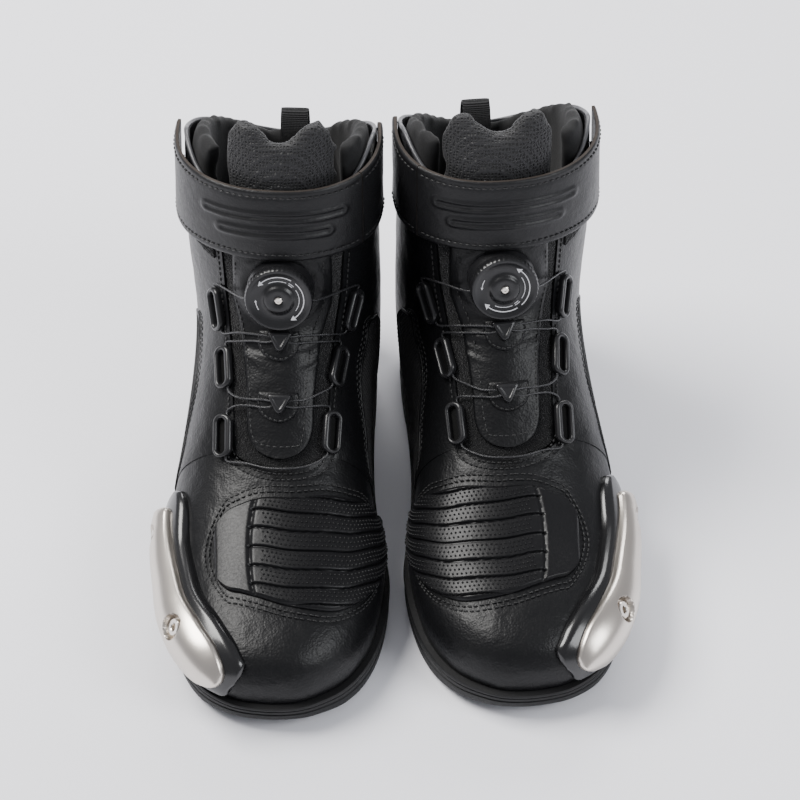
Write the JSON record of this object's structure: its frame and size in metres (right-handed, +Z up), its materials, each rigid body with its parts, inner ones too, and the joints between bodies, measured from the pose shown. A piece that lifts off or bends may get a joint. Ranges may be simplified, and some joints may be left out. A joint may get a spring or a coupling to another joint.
{
  "type": "motorcycle riding boots",
  "caption": "Pair of short black leather riding boots with a wire lacing dial, an ankle strap that opens, a ribbed shift pad and a metal-plated toe slider.",
  "frame": {"origin": "middle of the pair of boots' footprint, on the ground", "axes": "+Z up, -Y towards the toes, +X from the right boot to the left boot"},
  "size_m": [0.2454, 0.297, 0.2199],
  "materials": {
    "leather": "black full-grain leather, soft sheen",
    "lining": "soft black padded lining",
    "mesh_fabric": "black spacer mesh",
    "footbed": "dark grey footbed cloth",
    "webbing": "black woven webbing",
    "rubber_sole": "matt black moulded rubber",
    "pad_rubber": "satin black moulded rubber",
    "gloss_base": "gloss black moulding",
    "slider_metal": "warm satin metal",
    "screw_steel": "bright steel",
    "dial_plastic": "semi-gloss black plastic",
    "wire": "nylon coated steel wire"
  },
  "bodies": {
    "right_boot": {"right_outsole": "rubber_sole", "right_insole": "footbed", "right_vamp": "leather", "right_lateral_quarter": "leather", "right_medial_quarter": "leather", "right_heel_counter": "leather", "right_collar_padding": "lining", "right_strap_root": "leather", "right_pull_loop": "webbing", "right_shift_pad": "pad_rubber", "right_slider_base": "gloss_base", "right_slider_plate": "slider_metal", "right_slider_screw_front": "screw_steel", "right_slider_screw_rear": "screw_steel", "right_guide_lateral_top": "dial_plastic", "right_guide_lateral_middle": "dial_plastic", "right_guide_lateral_low": "dial_plastic", "right_guide_medial_top": "dial_plastic", "right_guide_medial_middle": "dial_plastic", "right_guide_medial_low": "dial_plastic", "right_lace_wire": "wire"},
    "right_strap": {"right_ankle_strap": "leather"},
    "right_tongue": {"right_tongue_padding": "mesh_fabric", "right_tongue_shield": "leather", "right_keeper_upper": "dial_plastic", "right_keeper_lower": "dial_plastic", "right_dial_base": "dial_plastic", "right_dial_screw": "screw_steel"},
    "right_dial": {"right_dial_knob": "dial_plastic", "right_dial_spool": "dial_plastic"},
    "left_boot": {"left_outsole": "rubber_sole", "left_insole": "footbed", "left_vamp": "leather", "left_lateral_quarter": "leather", "left_medial_quarter": "leather", "left_heel_counter": "leather", "left_collar_padding": "lining", "left_strap_root": "leather", "left_pull_loop": "webbing", "left_shift_pad": "pad_rubber", "left_slider_base": "gloss_base", "left_slider_plate": "slider_metal", "left_slider_screw_front": "screw_steel", "left_slider_screw_rear": "screw_steel", "left_guide_lateral_top": "dial_plastic", "left_guide_lateral_middle": "dial_plastic", "left_guide_lateral_low": "dial_plastic", "left_guide_medial_top": "dial_plastic", "left_guide_medial_middle": "dial_plastic", "left_guide_medial_low": "dial_plastic", "left_lace_wire": "wire"},
    "left_strap": {"left_ankle_strap": "leather"},
    "left_tongue": {"left_tongue_padding": "mesh_fabric", "left_tongue_shield": "leather", "left_keeper_upper": "dial_plastic", "left_keeper_lower": "dial_plastic", "left_dial_base": "dial_plastic", "left_dial_screw": "screw_steel"},
    "left_dial": {"left_dial_knob": "dial_plastic", "left_dial_spool": "dial_plastic"}
  },
  "joints": [
    {"name": "right_strap_open", "type": "hinge", "parent": "right_boot", "child": "right_strap", "pos_m": [-0.01627, 0.0434, 0.17099], "axis": [0.0149, 0.3417, 0.9397], "range_deg": [0, 80]},
    {"name": "right_tongue_open", "type": "hinge", "parent": "right_boot", "child": "right_tongue", "pos_m": [-0.05924, -0.04103, 0.072], "axis": [0.999, -0.0436, 0], "range_deg": [0, 10], "deforming": ["right_lace_wire"]},
    {"name": "right_dial_turn", "type": "hinge", "parent": "right_tongue", "child": "right_dial", "pos_m": [-0.05693, 0.01192, 0.13907], "axis": [-0.0423, -0.9694, 0.2419], "continuous": true},
    {"name": "left_strap_open", "type": "hinge", "parent": "left_boot", "child": "left_strap", "pos_m": [0.01075, 0.04877, 0.17099], "axis": [0.0358, -0.3401, -0.9397], "range_deg": [0, 80]},
    {"name": "left_tongue_open", "type": "hinge", "parent": "left_boot", "child": "left_tongue", "pos_m": [0.0588, -0.03288, 0.072], "axis": [0.9945, 0.1045, 0], "range_deg": [0, 10], "deforming": ["left_lace_wire"]},
    {"name": "left_dial_turn", "type": "hinge", "parent": "left_tongue", "child": "left_dial", "pos_m": [0.05325, 0.01984, 0.13907], "axis": [0.1014, -0.965, 0.2419], "continuous": true},
    {"name": "left_boot_lift", "type": "slide", "parent": "right_boot", "child": "left_boot", "axis": [0, 0, 1], "range_m": [0, 0.25]}
  ],
  "couplings": [
    {"joint": "right_tongue_open", "follows": "right_strap_open", "ratio": 0.12},
    {"joint": "left_tongue_open", "follows": "left_strap_open", "ratio": 0.12}
  ]
}
